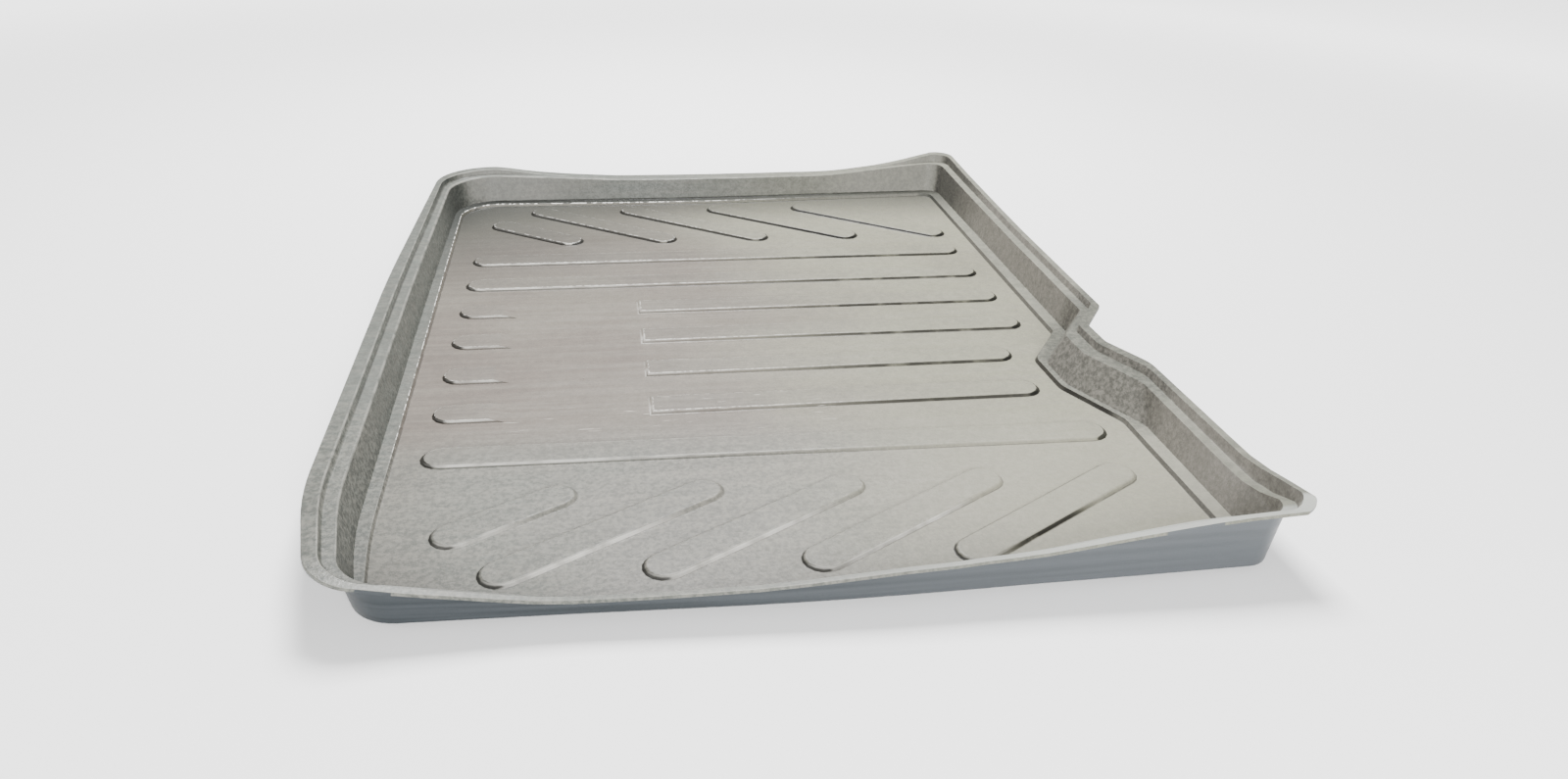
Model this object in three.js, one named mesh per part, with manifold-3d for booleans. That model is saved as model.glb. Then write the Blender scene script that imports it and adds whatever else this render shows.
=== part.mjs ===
// Car boot liner: one formed plastic sheet. A floor with raised pads, a narrow ledge
// around it, drafted walls and a stepped rim whose height changes from side to side.
// Millimetres, +Z up. X runs across the short way, Y along the long way.
// The plan is set out from the near left corner of the floor and centred at the end.

import * as THREE from 'three';
import Module from 'manifold-3d';

const SHEET = 3;

// Floor: the flat area inside the ledge.
const FLOOR = {
  nearWidth: 664,
  farWidth: 674,
  leftLength: 918,
  rightLength: 934,
  nearBow: 7,
  farDip: 14,
};

// The left side bows out a little and draws in at both ends: `taperLow` and `taperHigh`
// are where that starts.
const LEFT = { cornerX: 8, cornerY: 8, bow: 1.5, taperLow: 100, taperHigh: 540 };

// The right side steps inward along part of its length.
const NOTCH = {
  start: 218,
  narrow: 292,
  widen: 358,
  end: 422,
  nearX: 662,
  narrowX: 628,
  widenX: 626,
  endX: 670,
};

// Widths of the bands outside the floor, measured outward in plan, for each kind of side.
const NEAR_SIDE = { ledge: 12, draft: 3, inner: 2, outer: 5 };
const RIGHT_SIDE = { ledge: 14.5, draft: 4, inner: 9, outer: 6.5 };
const NOTCH_LONG = { ledge: 7, draft: 14, inner: 14, outer: 9.5 };
const NOTCH_SHORT = { ledge: 14, draft: 14, inner: 8, outer: 9.5 };
const FAR_SIDE = { ledge: 12, draft: 6, inner: 6, outer: 12.5 };
const LEFT_SIDE = { ledge: 12, draft: 7, inner: 11, outer: 12.5 };
const LEFT_NEAR_END = { ledge: 5.5, draft: 7, inner: 9, outer: 9.5 };
const LEFT_FAR_END = { ledge: 9, draft: 5, inner: 7.5, outer: 5.5 };

const STEP_RUN = 1.5;
const STEP_RISE = 4;
const LEDGE_FALL = 0.5;
const INNER_FALL = 1;
const RISER_RUN = 1.5;
const OUTER_LIFT = 0.5;

// Corner radii in plan at the floor and at the rim, and half the length of each gentle bend.
const FLOOR_RADIUS = {
  nearLeft: 28,
  nearRight: 26,
  notchStart: 25,
  notchNarrow: 30,
  notchWiden: 22,
  notchEnd: 8,
  farRight: 14,
  farLeft: 50,
};
const RIM_RADIUS = {
  nearLeft: 42,
  nearRight: 10,
  notchStart: 50,
  notchNarrow: 25,
  notchWiden: 8,
  notchEnd: 10,
  farRight: 26,
  farLeft: 74,
};
const BEND = { near: 90, far: 125, taperHigh: 90, taperLow: 35 };

// Corners in order, anticlockwise from above, each with the side that leaves it. At a gentle
// bend the curve starts `bend` before it.
const CORNERS = [
  { x: LEFT.cornerX, y: LEFT.cornerY, floorRadius: FLOOR_RADIUS.nearLeft,
    rimRadius: RIM_RADIUS.nearLeft, arcs: 10, side: NEAR_SIDE, spans: 10 },
  { x: FLOOR.nearWidth / 2, y: -FLOOR.nearBow, bend: BEND.near, arcs: 5,
    side: NEAR_SIDE, spans: 12 },
  { x: FLOOR.nearWidth, y: 0, floorRadius: FLOOR_RADIUS.nearRight,
    rimRadius: RIM_RADIUS.nearRight, arcs: 8, side: RIGHT_SIDE, spans: 9 },
  { x: NOTCH.nearX, y: NOTCH.start, floorRadius: FLOOR_RADIUS.notchStart,
    rimRadius: RIM_RADIUS.notchStart, arcs: 5, side: NOTCH_LONG, spans: 1 },
  { x: NOTCH.narrowX, y: NOTCH.narrow, floorRadius: FLOOR_RADIUS.notchNarrow,
    rimRadius: RIM_RADIUS.notchNarrow, arcs: 4, side: NOTCH_LONG, spans: 1 },
  { x: NOTCH.widenX, y: NOTCH.widen, floorRadius: FLOOR_RADIUS.notchWiden,
    rimRadius: RIM_RADIUS.notchWiden, arcs: 6, side: NOTCH_SHORT, spans: 1 },
  { x: NOTCH.endX, y: NOTCH.end, floorRadius: FLOOR_RADIUS.notchEnd,
    rimRadius: RIM_RADIUS.notchEnd, arcs: 6, side: RIGHT_SIDE, spans: 7 },
  { x: FLOOR.farWidth, y: FLOOR.rightLength, floorRadius: FLOOR_RADIUS.farRight,
    rimRadius: RIM_RADIUS.farRight, arcs: 8, side: FAR_SIDE, spans: 10 },
  { x: FLOOR.farWidth / 2, y: (FLOOR.leftLength + FLOOR.rightLength) / 2 - FLOOR.farDip,
    bend: BEND.far, arcs: 6, side: FAR_SIDE, spans: 9 },
  { x: 0, y: FLOOR.leftLength, floorRadius: FLOOR_RADIUS.farLeft,
    rimRadius: RIM_RADIUS.farLeft, arcs: 12, side: LEFT_FAR_END, spans: 4 },
  { x: -LEFT.bow, y: LEFT.taperHigh, bend: BEND.taperHigh, arcs: 4, side: LEFT_SIDE, spans: 4 },
  { x: -LEFT.bow, y: LEFT.taperLow, bend: BEND.taperLow, arcs: 5,
    side: LEFT_NEAR_END, spans: 1 },
];

// Heights above the floor of the wall top and of the rim, at places round the liner.
const WALL_TOP = {
  nearLeft: 35,
  nearFall: 26,
  nearLowest: 18.5,
  nearMiddle: 20,
  nearLift: 29.5,
  nearRise: 33,
  nearShoulder: 41,
  nearPeak: 49.5,
  nearRight: 49,
  rightStart: 49,
  rightFall: 36.5,
  rightDip: 35,
  notchStart: 36,
  right: 38,
  rightRise: 42,
  farRight: 44,
  farStart: 41,
  farFall: 36.5,
  farLowest: 31,
  farRise: 34.5,
  farShoulder: 37,
  farLeft: 39,
  left: 38,
  leftEnd: 38,
};
const RIM_TOP = {
  nearLeft: 38.5,
  nearFall: 28.5,
  nearLowest: 21,
  nearMiddle: 22.5,
  nearLift: 32,
  nearRise: 35.5,
  nearShoulder: 43.5,
  nearPeak: 52.5,
  nearRight: 53.5,
  rightStart: 60,
  rightFall: 51.5,
  rightDip: 46,
  notchStart: 45,
  right: 46,
  rightRise: 52.5,
  farRight: 56,
  farStart: 46.5,
  farFall: 38,
  farLowest: 32,
  farRise: 35.5,
  farShoulder: 40,
  farLeft: 47,
  left: 45,
  leftEnd: 44.5,
};
const HEIGHTS = { wall: WALL_TOP, rim: RIM_TOP };

// Where those places are: the number of the side plus how far along that side each sits.
const CORNER_SHARE = 0.04;
const STATIONS = [
  { at: CORNER_SHARE, name: 'nearLeft' },
  { at: 0.3, name: 'nearFall' },
  { at: 0.59, name: 'nearLowest' },
  { at: 1 - CORNER_SHARE, name: 'nearMiddle' },
  { at: 1 + CORNER_SHARE, name: 'nearLift' },
  { at: 1.25, name: 'nearRise' },
  { at: 1.5, name: 'nearShoulder' },
  { at: 1.84, name: 'nearPeak' },
  { at: 2 - CORNER_SHARE, name: 'nearRight' },
  { at: 2 + CORNER_SHARE, name: 'rightStart' },
  { at: 2.2, name: 'rightFall' },
  { at: 2.36, name: 'rightDip' },
  { at: 3, name: 'notchStart' },
  { at: 6.33, name: 'right' },
  { at: 6.85, name: 'rightRise' },
  { at: 7, name: 'farRight' },
  { at: 7.21, name: 'farStart' },
  { at: 7.43, name: 'farFall' },
  { at: 7.78, name: 'farLowest' },
  { at: 8.33, name: 'farRise' },
  { at: 8.66, name: 'farShoulder' },
  { at: 9, name: 'farLeft' },
  { at: 10, name: 'left' },
  { at: 12 - CORNER_SHARE, name: 'leftEnd' },
];

// Raised pads, hollow underneath, with round ends.
const PAD = { radius: 17.5, height: 3, draft: 2.2, arcs: 8, root: 1 };

// Straight rows across the floor. `gap` is what they leave clear of the floor's left edge, and
// grows by `gapStep` from row to row. The nearest row slants a little. ROW_ENDS gives the right
// end of each row, which stays clear of the floor's right edge.
const ROWS = { first: 216.5, pitch: 80, gap: 21, gapStep: 1, nearSlant: 12 };
const RIGHT_GAP = { near: 24, notch: 19, far: 29 };
const ROW_ENDS = [
  NOTCH.nearX - RIGHT_GAP.near,
  NOTCH.widenX - RIGHT_GAP.notch,
  NOTCH.widenX - RIGHT_GAP.notch,
  FLOOR.farWidth - RIGHT_GAP.far,
  FLOOR.farWidth - RIGHT_GAP.far,
  FLOOR.farWidth - RIGHT_GAP.far,
  FLOOR.farWidth - RIGHT_GAP.far,
];

// Some of the rows leave a bare field on their left half. They fade into it on its left side
// and end square on its right side.
const FIELD = { firstRow: 1, lastRow: 4, left: 87, width: 134, fade: 14 };

// Slanting pads between the rows and the near and far walls. `x` places the inner end of the
// first one, which stops short at the gap to the floor's left edge.
const DIAGONAL_RUN = 157;
const DIAGONAL_GAP = 59;
const NEAR_DIAGONALS = { count: 5, pitch: 119.5, slip: -4, x: 136, y: 144, rise: -97 };
const FAR_DIAGONALS = { count: 5, pitch: 121.5, slip: 0, x: 144, inset: 152, rise: 117 };

const COLOUR = 0xaeada5;

const wasm = await Module();
wasm.setup();
const { Manifold, Mesh } = wasm;

function directions(before, corner, after) {
  return [corner.clone().sub(before).normalize(), after.clone().sub(corner).normalize()];
}

// The corner of two sides after each has moved outward by its own distance.
function movedCorner(before, corner, after, moveIn, moveOut) {
  const [goIn, goOut] = directions(before, corner, after);
  const along = (moveIn * goIn.dot(goOut) - moveOut) / goIn.cross(goOut);
  return new THREE.Vector2(goIn.y, -goIn.x).multiplyScalar(moveIn).add(corner)
    .addScaledVector(goIn, -along);
}

// A gentle bend moves outward by the larger of the two distances.
function movedBend(before, corner, after, moveIn, moveOut) {
  const [goIn, goOut] = directions(before, corner, after);
  const along = goIn.add(goOut).normalize();
  return new THREE.Vector2(along.y, -along.x).multiplyScalar(Math.max(moveIn, moveOut))
    .add(corner);
}

// A gentle bend turned into a curve, as points.
function roundedBend(before, corner, after, setback, arcs) {
  const [goIn, goOut] = directions(before, corner, after);
  return new THREE.QuadraticBezierCurve(corner.clone().addScaledVector(goIn, -setback), corner,
    corner.clone().addScaledVector(goOut, setback)).getPoints(arcs);
}

// A corner turned into an arc, as points.
function roundedCorner(before, corner, after, radius, arcs) {
  const [goIn, goOut] = directions(before, corner, after);
  const turn = Math.atan2(goIn.cross(goOut), goIn.dot(goOut));
  const setback = radius * Math.tan(Math.abs(turn) / 2);
  const start = corner.clone().addScaledVector(goIn, -setback);
  const inward = new THREE.Vector2(-goIn.y, goIn.x).multiplyScalar(Math.sign(turn) * radius);
  const centre = start.clone().add(inward);
  return Array.from({ length: arcs + 1 }, (_, i) => (
    start.clone().rotateAround(centre, turn * i / arcs)));
}

// Height of one band at a place round the liner: a curve through the stations that never
// swings past them.
function heightAt(place, band) {
  const count = STATIONS.length;
  const lap = CORNERS.length;
  const station = (i) => {
    const index = ((i % count) + count) % count;
    const { at, name } = STATIONS[index];
    return { at: at + lap * Math.floor(i / count), z: HEIGHTS[band][name] };
  };
  let index = 0;
  while (index < count && STATIONS[index].at <= place) index += 1;
  const [a, b, c, d] = [index - 2, index - 1, index, index + 1].map(station);
  const slope = (p, q) => (q.z - p.z) / (q.at - p.at);
  const blend = (s, t) => (s * t <= 0 ? 0 : 2 * s * t / (s + t));
  const width = c.at - b.at;
  const u = (place - b.at) / width;
  const leave = blend(slope(a, b), slope(b, c)) * width;
  const arrive = blend(slope(b, c), slope(c, d)) * width;
  const rise = c.z - b.z;
  return b.z + u * leave + u * u * (3 * rise - 2 * leave - arrive)
    + u * u * u * (leave + arrive - 2 * rise);
}

// One closed ring of the sheet's upper face: `reach` gives the distance outside the floor
// for a side, `height` the height for a place round the liner.
function ring(reach, height) {
  const count = CORNERS.length;
  const flat = CORNERS.map((corner) => new THREE.Vector2(corner.x, corner.y));
  const near = (list, i) => list[(i + count) % count];
  const moved = flat.map((corner, i) => {
    const move = CORNERS[i].bend ? movedBend : movedCorner;
    return move(near(flat, i - 1), corner, near(flat, i + 1),
      reach(near(CORNERS, i - 1).side), reach(CORNERS[i].side));
  });
  const arcs = CORNERS.map((corner, i) => {
    const neighbours = [near(moved, i - 1), moved[i], near(moved, i + 1)];
    if (corner.bend) return roundedBend(...neighbours, corner.bend, corner.arcs);
    const share = reach(corner.side) / reachOf.rim(corner.side);
    const radius = THREE.MathUtils.lerp(corner.floorRadius, corner.rimRadius, share);
    return roundedCorner(...neighbours, radius, corner.arcs);
  });
  const points = [];
  const place = (flatPoint, at) => {
    points.push(new THREE.Vector3(flatPoint.x, flatPoint.y, height((at + count) % count)));
  };
  CORNERS.forEach((corner, i) => {
    arcs[i].forEach((point, j) => place(point, i + CORNER_SHARE * (2 * j / corner.arcs - 1)));
    const [from, to] = [arcs[i].at(-1), near(arcs, i + 1)[0]];
    for (let j = 1; j < corner.spans; j += 1) {
      const t = j / corner.spans;
      place(from.clone().lerp(to, t), i + CORNER_SHARE + t * (1 - 2 * CORNER_SHARE));
    }
  });
  return points;
}

const reachOf = {
  floor: () => 0,
  step: () => STEP_RUN,
  ledge: (side) => side.ledge,
  wall: (side) => side.ledge + side.draft,
  inner: (side) => side.ledge + side.draft + side.inner,
  riser: (side) => side.ledge + side.draft + side.inner + RISER_RUN,
  rim: (side) => side.ledge + side.draft + side.inner + RISER_RUN + side.outer,
};

// The underside of a stack of rings: every point moved by the sheet's thickness, square to
// the two bands that meet there.
function underside(rings) {
  const normalAt = (from, to, before, after) => (
    to.clone().sub(from).cross(after.clone().sub(before)).normalize());
  return rings.map((points, i) => points.map((point, j) => {
    const before = points[(j + points.length - 1) % points.length];
    const after = points[(j + 1) % points.length];
    const inner = i > 0 ? normalAt(rings[i - 1][j], point, before, after)
      : new THREE.Vector3(0, 0, 1);
    const outer = i < rings.length - 1 ? normalAt(point, rings[i + 1][j], before, after) : inner;
    const shift = inner.clone().add(outer).multiplyScalar(SHEET / (1 + inner.dot(outer)));
    return point.clone().sub(shift);
  }));
}

// A closed solid from a stack of equal rings, the first one facing up, the last one down.
function solidFrom(rings) {
  const size = rings[0].length;
  const triangles = [];
  for (let i = 0; i < rings.length - 1; i += 1) {
    for (let j = 0; j < size; j += 1) {
      const [a, b] = [i * size + j, i * size + (j + 1) % size];
      triangles.push(a, a + size, b + size, a, b + size, b);
    }
  }
  const middleOf = (points) => new THREE.Box3().setFromPoints(points)
    .getCenter(new THREE.Vector3());
  const last = (rings.length - 1) * size;
  const [upperMiddle, lowerMiddle] = [last + size, last + size + 1];
  for (let j = 0; j < size; j += 1) {
    const next = (j + 1) % size;
    triangles.push(upperMiddle, j, next, lowerMiddle, last + next, last + j);
  }
  const positions = [...rings.flat(), middleOf(rings[0]), middleOf(rings.at(-1))]
    .flatMap((point) => point.toArray());
  return new Manifold(new Mesh({
    numProp: 3,
    vertProperties: new Float32Array(positions),
    triVerts: new Uint32Array(triangles),
  }));
}

// Outline of a pad between two points at one height; an end can be left square.
function padRing(from, to, radius, z, square) {
  const turn = Math.atan2(to.y - from.y, to.x - from.x);
  const end = (centre, facing, isSquare) => {
    const steps = isSquare ? 1 : PAD.arcs;
    return Array.from({ length: steps + 1 }, (_, i) => {
      const angle = facing - Math.PI / 2 + Math.PI * i / steps;
      return new THREE.Vector3(centre.x + radius * Math.cos(angle),
        centre.y + radius * Math.sin(angle), z);
    });
  };
  return [...end(to, turn, square.to), ...end(from, turn + Math.PI, square.from)];
}

// The raised body of a pad and the hollow under it. An end named in `square` has a flat face
// that runs in by the given length over the pad's height.
function pad(from, to, square = {}) {
  const along = to.clone().sub(from).normalize();
  const level = (radius, z) => {
    const share = (PAD.radius - radius) / PAD.draft;
    const start = from.clone().addScaledVector(along, share * (square.from ?? 0));
    const finish = to.clone().addScaledVector(along, -share * (square.to ?? 0));
    return padRing(start, finish, radius, z, square);
  };
  const foot = PAD.radius;
  const top = foot - PAD.draft;
  const inset = SHEET * (Math.hypot(PAD.draft, PAD.height) - PAD.draft) / PAD.height;
  const raised = [level(top, PAD.height), level(foot, 0), level(foot, -PAD.root)];
  const hollow = [level(top - inset, PAD.height - SHEET), level(foot - inset, -SHEET),
    level(foot - inset, -SHEET - PAD.root)];
  return { raised: solidFrom(raised), hollow: solidFrom(hollow) };
}

function rowPads() {
  return ROW_ENDS.flatMap((end, i) => {
    const y = ROWS.first + ROWS.pitch * i;
    const slant = i === 0 ? ROWS.nearSlant : 0;
    const left = new THREE.Vector2(ROWS.gap + ROWS.gapStep * i + PAD.radius, y);
    const right = new THREE.Vector2(end - PAD.radius, y - slant);
    if (i < FIELD.firstRow || i > FIELD.lastRow) return [pad(left, right)];
    return [
      pad(left, new THREE.Vector2(FIELD.left, y), { to: FIELD.fade }),
      pad(new THREE.Vector2(FIELD.left + FIELD.width, y), right, { from: PAD.draft }),
    ];
  });
}

function diagonalPads({ count, pitch, slip, x, rise }, y) {
  return Array.from({ length: count }, (_, i) => {
    const end = new THREE.Vector2(x + pitch * i, y + slip * i);
    const run = Math.min(DIAGONAL_RUN, end.x - DIAGONAL_GAP);
    const start = new THREE.Vector2(end.x - run, end.y + rise * run / DIAGONAL_RUN);
    return pad(start, end);
  });
}

const upper = [
  ring(reachOf.floor, () => 0),
  ring(reachOf.step, () => STEP_RISE),
  ring(reachOf.ledge, () => STEP_RISE + LEDGE_FALL),
  ring(reachOf.wall, (at) => heightAt(at, 'wall')),
  ring(reachOf.inner, (at) => heightAt(at, 'wall') + INNER_FALL),
  ring(reachOf.riser, (at) => heightAt(at, 'rim')),
  ring(reachOf.rim, (at) => heightAt(at, 'rim') + OUTER_LIFT),
];

const pads = [
  ...rowPads(),
  ...diagonalPads(NEAR_DIAGONALS, NEAR_DIAGONALS.y),
  ...diagonalPads(FAR_DIAGONALS, FLOOR.leftLength - FAR_DIAGONALS.inset),
];
const sheet = solidFrom([...upper, ...underside(upper).reverse()])
  .add(Manifold.union(pads.map(({ raised }) => raised)))
  .subtract(Manifold.union(pads.map(({ hollow }) => hollow)));

const formed = sheet.getMesh();
const indexed = new THREE.BufferGeometry();
indexed.setAttribute('position', new THREE.BufferAttribute(formed.vertProperties, 3));
indexed.setIndex(new THREE.BufferAttribute(formed.triVerts, 1));
const geometry = indexed.toNonIndexed();
geometry.computeBoundingBox();
const centre = geometry.boundingBox.getCenter(new THREE.Vector3());
geometry.translate(-centre.x, -centre.y, -geometry.boundingBox.min.z);
geometry.computeVertexNormals();

const liner = new THREE.Mesh(geometry, new THREE.MeshStandardMaterial({
  color: COLOUR,
  roughness: 0.6,
  metalness: 0,
}));
liner.name = 'boot_liner';

const group = new THREE.Group();
group.name = 'car_boot_liner';
group.add(liner);

export default group;
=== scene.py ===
# %% [markdown]
# # A car boot liner
# The liner is one sheet of plastic, heated and drawn over a mould: a floor with raised pads,
# walls, and a stepped flange all round. It is loaded here as a plain solid whose folds are
# all sharp. What is missing is what forming and use leave on such a sheet: rounded folds, a
# fine grain, faint streaks and rubbed edges.
#
# The solid is the fixed frame. Everything made below is in its metres, with +Z up.

# %% Load the frame
import math

import bmesh
import bpy
from mathutils import Matrix, Vector


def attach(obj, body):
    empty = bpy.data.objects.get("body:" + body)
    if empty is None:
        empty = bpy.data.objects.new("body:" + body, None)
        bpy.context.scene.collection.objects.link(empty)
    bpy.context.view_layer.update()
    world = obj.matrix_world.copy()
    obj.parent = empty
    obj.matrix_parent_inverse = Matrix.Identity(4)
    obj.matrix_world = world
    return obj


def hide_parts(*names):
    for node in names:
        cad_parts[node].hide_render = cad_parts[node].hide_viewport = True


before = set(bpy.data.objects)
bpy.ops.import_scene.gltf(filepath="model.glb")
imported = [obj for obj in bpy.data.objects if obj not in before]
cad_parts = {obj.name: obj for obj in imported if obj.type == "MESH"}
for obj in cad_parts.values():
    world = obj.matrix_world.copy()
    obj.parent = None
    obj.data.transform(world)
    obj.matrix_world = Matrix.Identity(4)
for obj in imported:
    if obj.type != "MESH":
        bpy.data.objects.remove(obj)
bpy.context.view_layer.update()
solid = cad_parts["boot_liner"]

# %% [markdown]
# ## The camera
# The tray is seen from in front of its near edge, a little left of the middle and half a
# metre up, with a fairly wide lens. That is why the far wall looks so much shorter than the
# near one. The camera's place could be found by eye, but it was worked out from the rows of
# pads, which are straight and evenly spaced on the real part. The sensor and the lens are
# given in millimetres, and the turns in degrees.

# %% Camera
SENSOR_WIDTH = 36
CAMERA_PLACE = Vector((-0.15425, -1.1240, 0.50273))
CAMERA_LENS = 25.875
CAMERA_YAW = 10.23
CAMERA_DIP = 26.87
CAMERA_ROLL = -2.058


def aim(yaw, dip, roll):
    """Turn of a camera that first looks along +Y: right by yaw, down by dip, then a roll."""
    ahead = math.cos(dip)
    forward = Vector((math.sin(yaw) * ahead, math.cos(yaw) * ahead, -math.sin(dip)))
    level = Vector((math.cos(yaw), -math.sin(yaw), 0))
    down = forward.cross(level)
    right = math.cos(roll) * level + math.sin(roll) * down
    up = right.cross(forward)
    return Matrix([[right[i], up[i], -forward[i]] for i in range(3)])


camera = bpy.data.objects.new("camera", bpy.data.cameras.new("camera"))
bpy.context.scene.collection.objects.link(camera)
camera.data.sensor_width = SENSOR_WIDTH
camera.data.lens = CAMERA_LENS
turn = aim(*(math.radians(angle) for angle in (CAMERA_YAW, CAMERA_DIP, CAMERA_ROLL)))
camera.matrix_world = Matrix.Translation(CAMERA_PLACE) @ turn.to_4x4()
bpy.context.scene.camera = camera
print("camera at", [round(v, 3) for v in camera.location])

# %% [markdown]
# ## The formed sheet
# The shape is already right, so it isn't modelled again. The solid's mesh is made of loose
# triangles, which no modelling tool can round. So a copy is welded into one skin. Then the
# two triangles of each four-sided patch are paired, which keeps the long bands round the
# tray whole, and what lies in one plane is joined into larger faces. Only real folds and
# the ends of the patches are left as edges.

# %% Copy and weld the solid
WELD = 2e-5
SAME_PLANE = math.radians(0.3)
SAME_BAND = math.radians(25)


def select_only(piece):
    bpy.ops.object.select_all(action="DESELECT")
    piece.hide_set(False)
    piece.select_set(True)
    bpy.context.view_layer.objects.active = piece


select_only(solid)
bpy.ops.object.duplicate()
sheet = bpy.context.view_layer.objects.active
sheet.name = "formed_sheet"
sheet.parent = None
for key in [key for key in sheet.keys() if key.startswith("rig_")]:
    del sheet[key]

bpy.ops.object.mode_set(mode="EDIT")
bpy.ops.mesh.select_all(action="SELECT")
bpy.ops.mesh.remove_doubles(threshold=WELD)
bpy.ops.mesh.tris_convert_to_quads(face_threshold=SAME_BAND, shape_threshold=SAME_BAND)
bpy.ops.mesh.dissolve_limited(angle_limit=SAME_PLANE)
bpy.ops.object.mode_set(mode="OBJECT")
print("welded sheet:", len(sheet.data.vertices), "corners,", len(sheet.data.polygons), "faces")

# %% [markdown]
# ## Rounded folds
# A hot sheet can't take a sharp fold, so every one on the real tray is rounded: wide where
# the walls leave the floor, tight where two folds lie close together. One bevel width for
# all would either be too small to see or make the narrow bands overlap. So each fold gets
# its own weight, the share of the full width that fits on the narrower face beside it. A
# fold takes less than half of that face, because another fold may need the other half.
#
# Only folds that run round the tray or round a pad count. The short edges that climb a
# curved corner are only there because the curve is made of flats, and smooth shading hides
# those.

# %% Find the folds and the room beside them
FOLD_WIDTH = 0.0045
FOLD_SHARE = 0.42
FOLD_ANGLE = math.radians(14)
LEVEL_EDGE = 0.4
MEASURED_AT = (0.1, 0.5, 0.9)


def is_fold(edge):
    rise = abs(edge.verts[0].co.z - edge.verts[1].co.z) / edge.calc_length()
    return edge.is_manifold and edge.calc_face_angle() > FOLD_ANGLE and rise < LEVEL_EDGE


def room_beside(edge, face, share):
    """How far the face reaches, square to its edge, at a share of the edge's length."""
    # Each other side's ends are given along the edge and across it from the foot. A side
    # that passes in front of the foot has one end before it and one after.
    start, end = (v.co for v in edge.verts)
    foot = start.lerp(end, share)
    along = (end - start).normalized()
    across = face.normal.cross(along)
    nearest = math.inf
    for other in face.edges:
        if other is edge:
            continue
        ends = [(along.dot(v.co - foot), across.dot(v.co - foot)) for v in other.verts]
        (s0, t0), (s1, t1) = ends
        if (s0 < 0) != (s1 < 0):
            nearest = min(nearest, abs(t0 + (t1 - t0) * s0 / (s0 - s1)))
    return nearest


skin = bmesh.new()
skin.from_mesh(sheet.data)
weight = skin.edges.layers.float.new("bevel_weight_edge")
folds = [edge for edge in skin.edges if is_fold(edge)]
room = {edge: min(room_beside(edge, face, share) for face in edge.link_faces
                  for share in MEASURED_AT) for edge in folds}
limit = {edge: min(FOLD_WIDTH, FOLD_SHARE * room[edge]) for edge in folds}
print(len(folds), "fold edges, with", round(min(room.values()) * 1000, 2), "mm room and more")

# %% [markdown]
# Two edges of one fold that get different widths don't meet cleanly when they are almost in
# line: the two inner lines of the bevel cross far beyond the corner. So the widths are evened
# out along each fold, over and over, without ever going past the room that each edge has, and
# a width may step only as far as keeps that crossing within the shorter edge. Edges that
# are truly straight on may step freely, because their lines never cross.

# %% Even out the widths along each fold
ROUNDS = 80
IN_LINE = 0.75
STRAIGHT = math.radians(1.5)
CROSSING_SHARE = 0.25


def next_along(edge, corner):
    """The fold edge that carries on past a corner, and how far its width may differ."""
    heading = (corner.co - edge.other_vert(corner).co).normalized()
    found = [(heading.dot((other.other_vert(corner).co - corner.co).normalized()), other)
             for other in corner.link_edges if other in limit and other is not edge]
    straightness, other = max(found, default=(0, None), key=lambda pair: pair[0])
    if straightness < IN_LINE:
        return None
    turn = math.acos(min(1, straightness))
    shorter = min(edge.calc_length(), other.calc_length())
    step = FOLD_WIDTH if turn < STRAIGHT else CROSSING_SHARE * shorter * math.sin(turn)
    return other, step


neighbours = {edge: [n for n in (next_along(edge, v) for v in edge.verts) if n] for edge in folds}
width = dict(limit)
for _ in range(ROUNDS):
    evened = {}
    for edge in folds:
        beside = [width[other] for other, _ in neighbours[edge]]
        average = (width[edge] + sum(beside)) / (1 + len(beside))
        steady = [width[other] + step for other, step in neighbours[edge]]
        evened[edge] = min([limit[edge], average] + steady)
    width = evened
for edge in folds:
    edge[weight] = width[edge] / FOLD_WIDTH
skin.to_mesh(sheet.data)
print("folds rounded by", round(min(width.values()) * 1000, 2), "to",
      round(max(width.values()) * 1000, 2), "mm")
skin.free()

# %% [markdown]
# The bevel marks its new faces with a material slot of their own. That makes it easy to say
# afterwards which corners lie in the middle of a fold, and whether it is a ridge, which gets
# rubbed and partly a painted highlight, or a valley, which gets dust and painted shade. Both
# are kept as attributes for the finish.

# %% Round the folds
FOLD_SLOT = 2
FOLD_SEGMENTS = 3
SMOOTH_BELOW = math.radians(40)

for _ in range(FOLD_SLOT + 1):
    sheet.data.materials.append(None)
select_only(sheet)
rounding = sheet.modifiers.new("rounded folds", "BEVEL")
rounding.limit_method = "WEIGHT"
rounding.width = FOLD_WIDTH
rounding.segments = FOLD_SEGMENTS
rounding.material = FOLD_SLOT
rounding.use_clamp_overlap = False
rounding.loop_slide = False
bpy.ops.object.modifier_apply(modifier=rounding.name)
bpy.ops.object.shade_smooth_by_angle(angle=SMOOTH_BELOW)
evening = sheet.modifiers.new("even shading", "WEIGHTED_NORMAL")
evening.keep_sharp = True
bpy.ops.object.modifier_apply(modifier=evening.name)
print("rounded sheet:", len(sheet.data.polygons), "faces")

# %% Mark the ridges and valleys
skin = bmesh.new()
skin.from_mesh(sheet.data)
marks = {"ridge": [], "valley": []}
for corner in skin.verts:
    inside = all(face.material_index == FOLD_SLOT for face in corner.link_faces)
    spokes = [(edge.other_vert(corner).co - corner.co).normalized() for edge in corner.link_edges]
    lean = sum(corner.normal.dot(spoke) for spoke in spokes)
    marks["ridge"].append(float(inside and lean < 0))
    marks["valley"].append(float(inside and lean > 0))
skin.free()
for name, values in marks.items():
    mark = sheet.data.attributes.new(name, "FLOAT", "POINT")
    mark.data.foreach_set("value", values)
    print(int(sum(values)), "corners on a", name)

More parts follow.
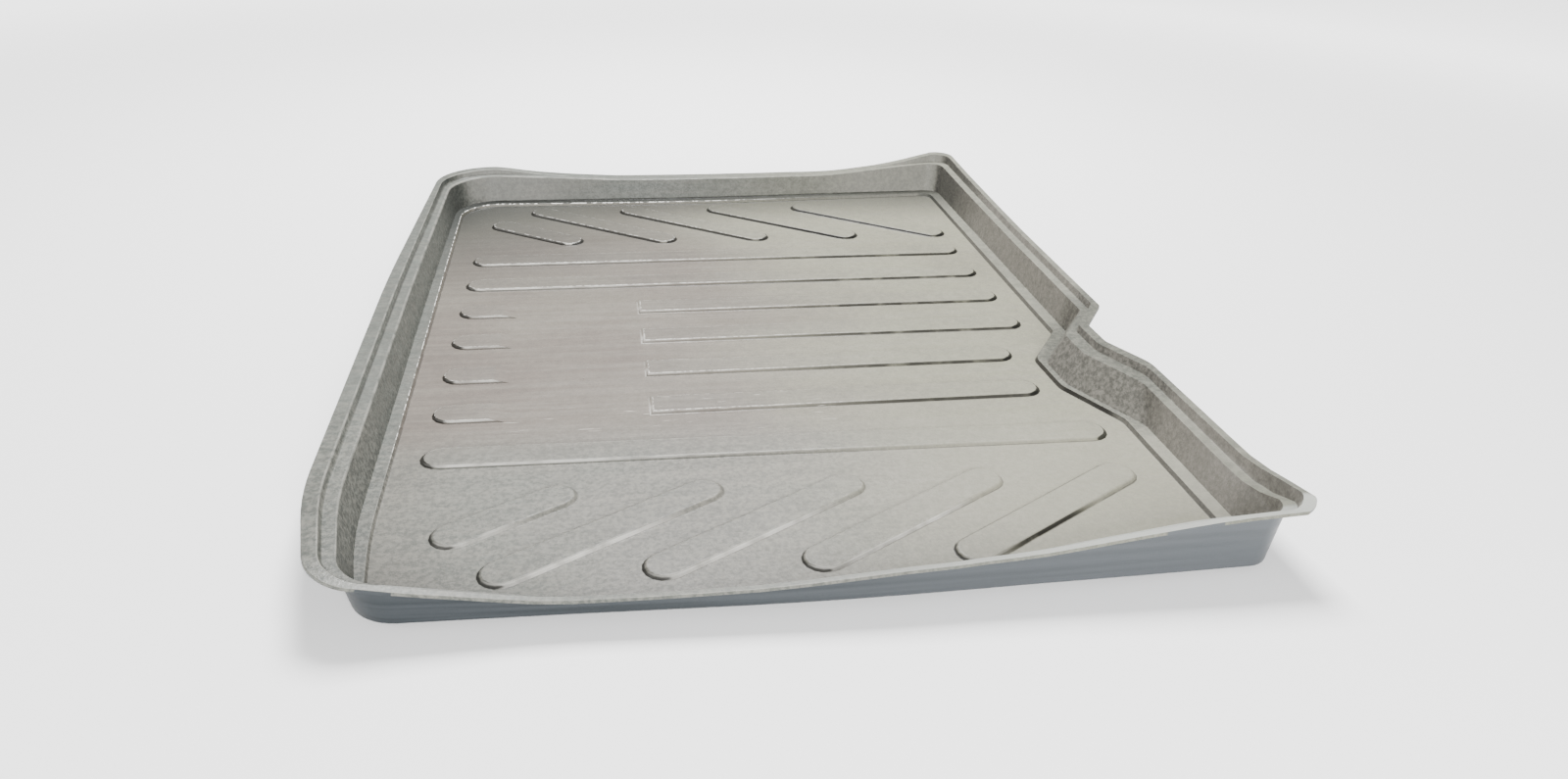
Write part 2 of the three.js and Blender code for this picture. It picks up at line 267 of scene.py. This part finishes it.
# %% [markdown]
# ## Writing a finish
# A finish is a graph of nodes. Two small helpers keep it readable: a socket that can be used
# in an ordinary sum, and a material that adds any node from its type, settings and sockets.
# A node's number could be worked out by hand-placed Math nodes as well, but a sum is shorter
# to write and easier to change.

# %% A number that a node gives
class Amount:
    """a number that a node gives; sums on it add Math nodes"""

    def __init__(self, finish, socket):
        self.finish, self.socket = finish, socket

    def sum(self, operation, first, second):
        made = self.finish.node("Math", {"operation": operation}, {0: first, 1: second})
        return Amount(self.finish, made.outputs[0])

    def __add__(self, other):
        return self.sum("ADD", self, other)

    __radd__ = __add__

    def __mul__(self, other):
        return self.sum("MULTIPLY", self, other)

    __rmul__ = __mul__

    def __sub__(self, other):
        return self.sum("SUBTRACT", self, other)

    def __rsub__(self, other):
        return self.sum("SUBTRACT", other, self)


print("an amount is", Amount.__doc__)

# %% A material built one node at a time
class Finish:
    """A material, with the colour that is painted on it so far."""

    def __init__(self, name):
        self.material = bpy.data.materials.new(name)
        self.material.use_nodes = True
        self.tree = self.material.node_tree
        self.shader = self.tree.nodes["Principled BSDF"]
        self.place = self.node("TexCoord").outputs["Object"]
        self.colour = None

    def node(self, kind, settings=None, sockets=None):
        made = self.tree.nodes.new("ShaderNode" + kind)
        for name, value in (settings or {}).items():
            setattr(made, name, value)
        for name, value in (sockets or {}).items():
            self.put(made.inputs[name], value)
        return made

    def put(self, socket, value):
        if isinstance(value, Amount):
            value = value.socket
        if isinstance(value, bpy.types.NodeSocket):
            self.tree.links.new(value, socket)
        else:
            socket.default_value = value

    def feed(self, name, value):
        """Give the shader's own socket a value, or link it."""
        self.put(self.shader.inputs[name], value)

    def axes(self):
        """The place on the piece, as three numbers in metres."""
        made = self.node("SeparateXYZ", sockets={0: self.place})
        return [Amount(self, socket) for socket in made.outputs]

    def facing(self):
        """The way the surface faces, as three numbers from -1 to 1."""
        normal = self.node("TexCoord").outputs["Normal"]
        made = self.node("SeparateXYZ", sockets={0: normal})
        return [Amount(self, socket) for socket in made.outputs]

    def mark(self, name):
        """An attribute of the piece, as a number."""
        made = self.node("Attribute", {"attribute_name": name})
        return Amount(self, made.outputs["Fac"])

    def noise(self, scale, detail=2, stretch=(1, 1, 1), roughness=0.5):
        """Cloudy noise, `scale` clouds to the metre."""
        at = self.node("Mapping", sockets={"Vector": self.place, "Scale": stretch}).outputs[0]
        made = self.node("TexNoise", sockets={"Vector": at, "Scale": scale, "Detail": detail,
                                              "Roughness": roughness})
        return Amount(self, made.outputs["Fac"])

    def above(self, amount, low, high):
        """A mask: 0 up to low, 1 from high on, and smooth between them."""
        made = self.node("MapRange", {"interpolation_type": "SMOOTHSTEP"},
                         {"Value": amount, "From Min": low, "From Max": high})
        return Amount(self, made.outputs["Result"])

    def below(self, amount, low, high):
        """A mask: 1 up to low, 0 from high on, and smooth between them."""
        return 1 - self.above(amount, low, high)

    def mix(self, share, first, second):
        made = self.node("Mix", {"data_type": "RGBA"}, {0: share, 6: first, 7: second})
        return made.outputs[2]

    def paint(self, share, tone):
        """Lay a tone over the colour so far, by a share from 0 to 1."""
        self.colour = self.mix(share, self.colour, tone)


print("a finish can", ", ".join(name for name in vars(Finish) if not name.startswith("_")))

# %% Colours as they look on screen
def grey(red, green, blue):
    """A colour given as 0 to 255 on screen, as the linear one that a shader takes."""
    linear = [((v / 255 + 0.055) / 1.055) ** 2.4 for v in (red, green, blue)]
    return (*linear, 1)


print("128 on screen is", round(grey(128, 128, 128)[0], 3), "to a shader")

# %% [markdown]
# ## The upper face
# The face is a warm mid grey with a satin grain. Seen closely it isn't one colour: the left
# half is warmer and the right half greener, with thin streaks along the floor's short way.
# The side walls and the left flange carry coarse dark mottles, where the sheet was drawn up.
#
# These could be brushed on by hand, but marks that are reckoned are easier to shift. Each is
# a mask on the piece's own coordinates or on the way it faces, so it stays put on the sheet
# from any side. `above` and `below` turn a rising number into a soft-edged mask, and two
# masks multiplied hold only where both do. First come the forms: walls stand upright, the
# ledge lies higher than the floor and the flange higher still. All places are in metres.

# %% The tray's forms
face = Finish("grained_face")
x, y, z = face.axes()
facing_x, facing_y, facing_z = face.facing()
upright = face.below(facing_z, 0.3, 0.8)
flat = 1 - upright
side_wall = upright * face.above(facing_x * facing_x, 0.3, 0.8)
far_wall = upright * (1 - side_wall) * face.above(y, 0.42, 0.45)
raised = face.above(z, 0.0055, 0.0075)
under_flange = face.below(z, 0.012, 0.02)
flat_low = flat * under_flange
left_ledge = raised * under_flange * face.below(x, -0.31, -0.3)
left_flange = flat * face.above(z, 0.022, 0.03) * face.below(x, -0.33, -0.31)
near_flange = flat * face.above(z, 0.018, 0.024) * face.below(y, -0.482, -0.476)
print("the forms take", len(face.tree.nodes), "nodes")

# %% Places along and across the tray
right_half = face.above(x, -0.12, 0.22)
near_left = face.below(x, -0.1, 0.25) * face.below(y, -0.29, -0.19)
near_end = face.below(y, -0.45, -0.3)
near_right_floor = flat_low * right_half * face.below(y, -0.35, -0.15)
near_right_wall = side_wall * right_half * face.below(y, -0.42, -0.3)
near_right_wall = near_right_wall * face.below(z, 0.038, 0.044)
notched = face.above(x, 0.27, 0.3) * face.above(y, -0.3, -0.26) * face.below(y, -0.05, -0.02)
towards_far = face.above(y, -0.35, -0.05)
far_end = face.above(y, 0.2, 0.4)
far_left = flat_low * face.above(y, 0, 0.42) * face.below(x, -0.4, 0.15)
far_strip = flat_low * face.above(y, 0.33, 0.47)
far_corner = flat_low * face.above(y, 0.3, 0.42) * face.below(x, -0.34, -0.28)
far_wall_ends = far_wall * face.above(x * x, 0.01, 0.06)
wall_ends = side_wall * (face.above(y, 0.24, 0.42) + 0.35 * face.below(y, -0.435, -0.41))
print("with the places,", len(face.tree.nodes), "nodes")

# %% [markdown]
# The patterns are cloudy noise of several sizes: broad clouds, streaks that are the same
# clouds squeezed thin, a coarse mottle, and the patches and speckle that the grain shows
# from close by.

# %% Patterns
clouds = face.above(face.noise(5, detail=3), 0.35, 0.65)
streaks = face.above(face.noise(1, detail=3, stretch=(7, 170, 170)), 0.35, 0.7)
mottle = face.above(face.noise(110, detail=3), 0.3, 0.7)
patches = face.above(face.noise(240, detail=4, roughness=0.65), 0.38, 0.62)
speckle = face.above(face.noise(420, detail=3, roughness=0.65), 0.42, 0.62)
print("with the patterns,", len(face.tree.nodes), "nodes")

# %% [markdown]
# The colour is built up as on a canvas: a ground first, then one tone over another. Each is
# laid on by a share, so what is under it still shows through.

# %% Ground and patterns
warm = grey(104, 96, 89)
green = grey(131, 130, 113)
cool = grey(101, 104, 98)
pale = grey(134, 130, 121)
dark = grey(38, 40, 38)
warm_wall = grey(146, 140, 134)

greener = face.above(0.25 * clouds + 0.75 * right_half + 0.4 * far_end, -0.1, 1.1)
face.colour = face.mix(greener, warm, green)
face.paint(near_left * (0.6 + 0.3 * clouds), cool)
face.paint(raised * (1 - 0.5 * right_half), cool)
face.paint(right_half * side_wall * 0.65, warm_wall)
face.paint(streaks * 0.3, pale)
face.paint(mottle * (0.12 + 0.12 * raised), dark)
face.paint(speckle * (0.1 + 0.08 * upright), dark)
print("with the ground,", len(face.tree.nodes), "nodes")

# %% [markdown]
# Some places are toned lighter or darker, and much of it is painted light and shade. The
# floor is painted darker towards the far wall and into its far left corner, as painted shade,
# and the side walls darker at their ends, as shade in the corners. The left flange gets
# painted shade that deepens towards the far end, over its mottles. The near right of the
# floor is painted paler, as painted light, and the near flange gets a painted highlight,
# strongest on the right. The near end, the left ledge and the raised parts round the notch
# are darker, and the near end of the right wall and the ends of the far wall are paler.

# %% Lighter and darker places
pale_floor = grey(150, 148, 135)
pale_wall = grey(160, 156, 150)
pale_far_wall = grey(160, 158, 152)
highlight_rim = grey(156, 158, 153)
mottle_and_shade_green = grey(28, 34, 29)

face.paint(near_end * (0.2 - 0.14 * right_half), dark)
# painted light: the near right of the floor is paler, standing in for sheen from the right
face.paint(near_right_floor * 0.4, pale_floor)
# painted shade on the floor: towards the far left corner, along the far wall, deepest in that
# corner
face.paint(far_left * 0.82, dark)
face.paint(far_strip * 0.72, dark)
face.paint(far_corner * 0.35, dark)
face.paint(near_right_wall * 0.4, pale_wall)
face.paint(far_wall_ends * 0.35, pale_far_wall)
face.paint(patches * (0.08 + 0.1 * upright + 0.18 * near_left), dark)
face.paint((1 - patches) * near_left * 0.2, pale)
face.paint(raised * notched * (0.28 + 0.28 * patches), dark)
face.paint(left_ledge * (0.1 + 0.25 * patches), dark)
face.paint(side_wall * (1 - 0.85 * right_half) * patches * 0.3, dark)
# painted shade at the ends of the side walls, in the corners, with mottles
face.paint(wall_ends * (0.65 + 0.15 * patches), dark)
# painted shade on the left flange, deeper towards the far end, with its mottles
face.paint(left_flange * (0.02 + 0.06 * towards_far + 0.12 * patches), mottle_and_shade_green)
# painted highlight along the near flange, strongest on the right
face.paint(near_flange * (0.15 + 0.6 * right_half), highlight_rim)
print("with the places toned,", len(face.tree.nodes), "nodes")

# %% [markdown]
# ## Wear, with painted light and shade
# Use leaves its own marks: the ridges are rubbed paler and smoother, most of all in the left
# half, and dust settles in the valleys. Light and shade are painted over these. The near
# slopes of the pads in the left half get a painted highlight, and the pale of the rubbed
# ridges is partly a painted highlight too. The near slopes in the right half, the feet of
# the lit slopes, the ends of the pads and the risers of the step round the floor get
# painted shade, and the dust in the valleys is partly painted shade. The upper ends of the
# nearest pads get none of these marks.
#
# The marks follow the pads, so most masks come from the way a slope faces and from its
# height, and only a few from a place. That way one mask serves every pad of a kind.

# %% Slopes on the floor
low = face.below(z, 0.0068, 0.0075)
right_edge = low * face.above(x, 0.322, 0.33)
far_edge = low * face.above(y, 0.43, 0.44)
on_floor = low * face.above(x, -0.322, -0.316) * (1 - right_edge) * (1 - far_edge)
leaning = face.below(facing_z, 0.97, 0.998)
pad_side = on_floor * leaning
slope = on_floor * face.below(facing_z, 0.8, 0.985)
near_slope = slope * face.above(-1 * facing_y, 0.25, 0.5)
foot = face.below(z, 0.0038, 0.0048)
print("with the slopes,", len(face.tree.nodes), "nodes")

# %% The pads and their ends
left_half = face.below(x, -0.05, 0.15)
near_pads = face.below(y, -0.315, -0.3)
row_pads = 1 - near_pads
last_pad = near_pads * face.above(x, 0.13, 0.16)
near_rows = face.below(y, -0.26, -0.25)
lower_end = face.below(y + 0.03 * face.above(x, -0.25, -0.2), -0.375, -0.35)
left_end = pad_side * row_pads * face.above(-1 * facing_x, 0.12, 0.35)
right_end = pad_side * row_pads * face.above(facing_x, 0.05, 0.2)
heel = pad_side * near_pads * lower_end
heel = heel * face.above(-0.9 * facing_x - 0.45 * facing_y, 0.15, 0.32)
heel = heel * (1 - 0.8 * face.above(z, 0.0042, 0.0056))
square_end = slope * row_pads * left_half * face.above(x, -0.2, -0.15)
square_end = square_end * face.above(-1 * facing_x, 0.4, 0.7)
print("with the pads,", len(face.tree.nodes), "nodes")

# %% Rubbed ridges, painted highlights and painted shade on the slopes
rubbed_lit_ridge = grey(150, 148, 141)
glint_slope = grey(178, 176, 170)
shaded_slope = grey(22, 21, 19)

wear_and_glint = face.above(face.noise(60, detail=3), 0.3, 0.6)
dust_and_shade_patches = face.above(face.noise(45, detail=3), 0.2, 0.55)
lit_edge = row_pads * face.below(x, -0.24, -0.02) * (1 - foot)
lit_edge = lit_edge + near_pads * face.below(y, -0.4, -0.35)
lit_edge = lit_edge * (1 - last_pad)
dark_edge = (1 - left_half) * (1 - near_rows)
dark_edge = dark_edge + last_pad * face.above(y, -0.45, -0.43) * lower_end
rubbed_and_lit = face.mark("ridge") * wear_and_glint * (0.25 + 0.75 * left_half)
rubbed_and_lit = rubbed_and_lit * (1 - on_floor * near_pads * (1 - lower_end))
rubbed_and_lit = rubbed_and_lit * face.below(-1 * facing_x, 0.1, 0.25)
# the ridges: partly rubbed wear, partly a painted highlight, stronger in the left half
face.paint(rubbed_and_lit * 0.5, rubbed_lit_ridge)
# painted highlight on the near slopes of the pads in the left half
face.paint(near_slope * lit_edge * (0.4 + 0.5 * wear_and_glint), glint_slope)
# painted shade on the near slopes in the right half and at the lower end of the last near pad
face.paint(near_slope * dark_edge * (0.4 + 0.5 * dust_and_shade_patches), shaded_slope)
# painted shade along the foot of the lit slopes
face.paint(near_slope * foot * row_pads * left_half * 0.35, dark)
print("with the rubbing,", len(face.tree.nodes), "nodes")

# %% Dust and painted shade in the valleys, painted shade at the pad ends and steps
valley_dust_and_shade = grey(30, 29, 26)
painted_end_shade = grey(16, 16, 14)

dust_and_crease_shade = face.mark("valley") * dust_and_shade_patches * (1 - 0.8 * near_left * (1 - heel))
# dust in the valleys, partly painted shade in the creases
face.paint(dust_and_crease_shade * 0.6, valley_dust_and_shade)
# painted shade on the square ends that face left
face.paint(square_end * 0.45, dark)
# painted shade round the ends of the pads and on the heels of the nearest pads
face.paint(0.85 * left_end + 0.85 * heel + 0.9 * right_end, painted_end_shade)
# painted shade on the step risers at the floor's right and far edges
face.paint(right_edge * leaning * 0.6, dark)
face.paint(far_edge * leaning * right_half * 0.35, dark)
print("with the dust,", len(face.tree.nodes), "nodes")

# %% [markdown]
# The ridge of the step round the floor is chipped white, and short scuffs cross the middle
# of the floor. Noise decides where: only its highest parts make a mark, so the marks stay
# few and short.

# %% Chips and scuffs
chip_white = grey(232, 230, 225)
scuff_white = grey(190, 186, 178)

chipped = face.mark("ridge") * face.above(z, 0.0055, 0.0062) * face.below(z, 0.0085, 0.0095)
chipped = chipped * (1 - right_half) * (1 - near_left)
chips = chipped * face.above(face.noise(190, detail=1), 0.48, 0.54)
face.paint(chips * 0.95, chip_white)
crossed = on_floor * face.above(x, -0.28, -0.2) * face.below(x, 0.02, 0.1)
crossed = crossed * face.above(y, -0.24, -0.21) * face.below(y, -0.165, -0.15)
scuffs = crossed * face.above(face.noise(1, stretch=(28, 260, 1)), 0.66, 0.72)
face.paint(scuffs * 0.6, scuff_white)
face.feed("Base Color", face.colour)
print("with the chips,", len(face.tree.nodes), "nodes")

# %% [markdown]
# ## Gloss and grain
# The face is satin: smoothest where it was rubbed and on the left flange. The grain was
# pressed into the sheet like that of leather, so it is a bump of small round cells with a
# finer noise over it. A second, broad bump lets the light waver over the floor, which is
# never quite flat.

# %% Gloss and grain
CELLS_TO_THE_METRE = 620
GRAIN_DEPTH = 0.0004
WAVE_DEPTH = 0.004

face.feed("Roughness", 0.38 + 0.1 * clouds + 0.1 * speckle - 0.1 * left_flange - 0.08 * rubbed_and_lit)
face.feed("Specular IOR Level", 0.2)
cells = face.node("TexVoronoi", {"feature": "SMOOTH_F1"},
                  {"Vector": face.place, "Scale": CELLS_TO_THE_METRE, "Smoothness": 0.5})
height = Amount(face, cells.outputs["Distance"]) * 0.7 + face.noise(1500) * 0.5
grain = face.node("Bump", sockets={"Strength": 0.35, "Distance": GRAIN_DEPTH, "Height": height})
wave = face.node("Bump", sockets={"Strength": 0.4, "Distance": WAVE_DEPTH,
                                  "Height": face.noise(9, detail=1), "Normal": grain.outputs[0]})
face.feed("Normal", wave.outputs[0])
print("the whole face takes", len(face.tree.nodes), "nodes")

# %% [markdown]
# ## The back of the sheet
# The side that lay away from the mould is cooler and smoother. It shows below the flange, on
# the outside of the near wall, with faint streaks drawn along the wall. It is painted darker
# than the face, as painted shade under the flange, and darkest at its left end.

# %% Back
shaded_back_left = grey(17, 25, 29)
shaded_back_right = grey(60, 64, 67)
back_streak = grey(84, 88, 93)
FAINT_GRAIN_DEPTH = 0.0003

back = Finish("smooth_shaded_back")
across = back.axes()[0]
drawn = back.above(back.noise(1, detail=3, stretch=(5, 5, 260)), 0.3, 0.7)
# painted shade: the back is much darker than the face, darkest at its left end
back.colour = back.mix(back.above(across, -0.3, 0.3), shaded_back_left, shaded_back_right)
back.paint(drawn * 0.2, back_streak)
back.feed("Base Color", back.colour)
back.feed("Roughness", 0.36 + 0.1 * drawn)
faint = back.node("Bump", sockets={"Strength": 0.2, "Distance": FAINT_GRAIN_DEPTH,
                                   "Height": back.noise(700)})
back.feed("Normal", faint.outputs[0])
print("the back takes", len(back.tree.nodes), "nodes")

# %% [markdown]
# The cut edge round the rim belongs to the face: it is as pale. It stands almost upright,
# as the walls do, but it is only as tall as the sheet is thick.

# %% Give each side its finish
LOOKS_UP = 0.02
CUT_EDGE_LOOKS_UP = -0.12
CUT_EDGE_TALL = 0.006


def on_the_face(polygon):
    heights = [sheet.data.vertices[index].co.z for index in polygon.vertices]
    is_low = max(heights) - min(heights) < CUT_EDGE_TALL
    return polygon.normal.z > (CUT_EDGE_LOOKS_UP if is_low else LOOKS_UP)


sheet.data.materials.clear()
sheet.data.materials.append(face.material)
sheet.data.materials.append(back.material)
for polygon in sheet.data.polygons:
    polygon.material_index = 0 if on_the_face(polygon) else 1
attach(sheet, "root")
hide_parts("boot_liner")
print(sum(p.material_index for p in sheet.data.polygons), "faces on the back")

# %% [markdown]
# ## Floor and light
# The tray lies on a pale floor, far wider than itself and half a millimetre below it, so
# that the two don't flicker where they touch. The floor would fall dark where the lights
# thin out, so it glows a little there instead. More lamps would do it too, but they would
# also change the tray. The glow grows with the square of the distance from a point on the
# floor a little behind the tray's middle.

# %% Floor
FLOOR_SPAN = 14
FLOOR_PLACE = (0, 3, -0.0005)
FLOOR_WHITE = (0.92, 0.92, 0.92, 1)
GLOW_MIDDLE = 0.4
GLOW_FROM, GLOW_FULL = 0.5, 7
GLOW_STRENGTH = 2.2

bpy.ops.mesh.primitive_plane_add(size=FLOOR_SPAN, location=FLOOR_PLACE)
floor = bpy.context.active_object
floor.name = "studio_floor"
bpy.ops.object.transform_apply(location=True, rotation=False, scale=False)
paper = Finish("pale_floor")
across, along, _ = paper.axes()
from_middle = along - GLOW_MIDDLE
far_away = paper.above(across * across + from_middle * from_middle, GLOW_FROM, GLOW_FULL)
paper.feed("Emission Color", paper.mix(far_away, grey(0, 0, 0), grey(255, 255, 255)))
paper.feed("Emission Strength", GLOW_STRENGTH)
paper.feed("Base Color", FLOOR_WHITE)
paper.feed("Roughness", 0.9)
floor.data.materials.append(paper.material)
print("floor of", FLOOR_SPAN, "m at", [round(v, 4) for v in floor.data.vertices[0].co])

# %% [markdown]
# A broad light hangs behind the tray like a window: it fills the floor and only grazes the
# side walls, which stay darker. A lower light from the front reaches the far wall and the
# outside of the near one, and a faint one from the left the right wall. A weak even light
# from all round keeps the shadows open.

# %% Light
EVEN_LIGHT = 0.4


def softbox(name, place, target, size, power):
    light = bpy.data.lights.new(name, "AREA")
    light.shape = "SQUARE"
    light.size = size
    light.energy = power
    made = bpy.data.objects.new(name, light)
    bpy.context.scene.collection.objects.link(made)
    made.location = place
    made.rotation_euler = (Vector(target) - Vector(place)).to_track_quat("-Z", "Y").to_euler()


softbox("window_behind", place=(0.1, 1.2, 2.2), target=(0, 0, 0), size=1.1, power=205)
softbox("front", place=(0.1, -2.4, 0.9), target=(0, 0.45, 0.03), size=0.8, power=115)
softbox("left_side", place=(-1.8, -0.6, 0.7), target=(0.34, 0, 0.03), size=0.6, power=8)

world = bpy.data.worlds.new("studio")
bpy.context.scene.world = world
world.use_nodes = True
background = world.node_tree.nodes["Background"]
background.inputs["Color"].default_value = (1, 1, 1, 1)
background.inputs["Strength"].default_value = EVEN_LIGHT
print("lights:", {light.name: light.energy for light in bpy.data.lights}, "watts")

# %% [markdown]
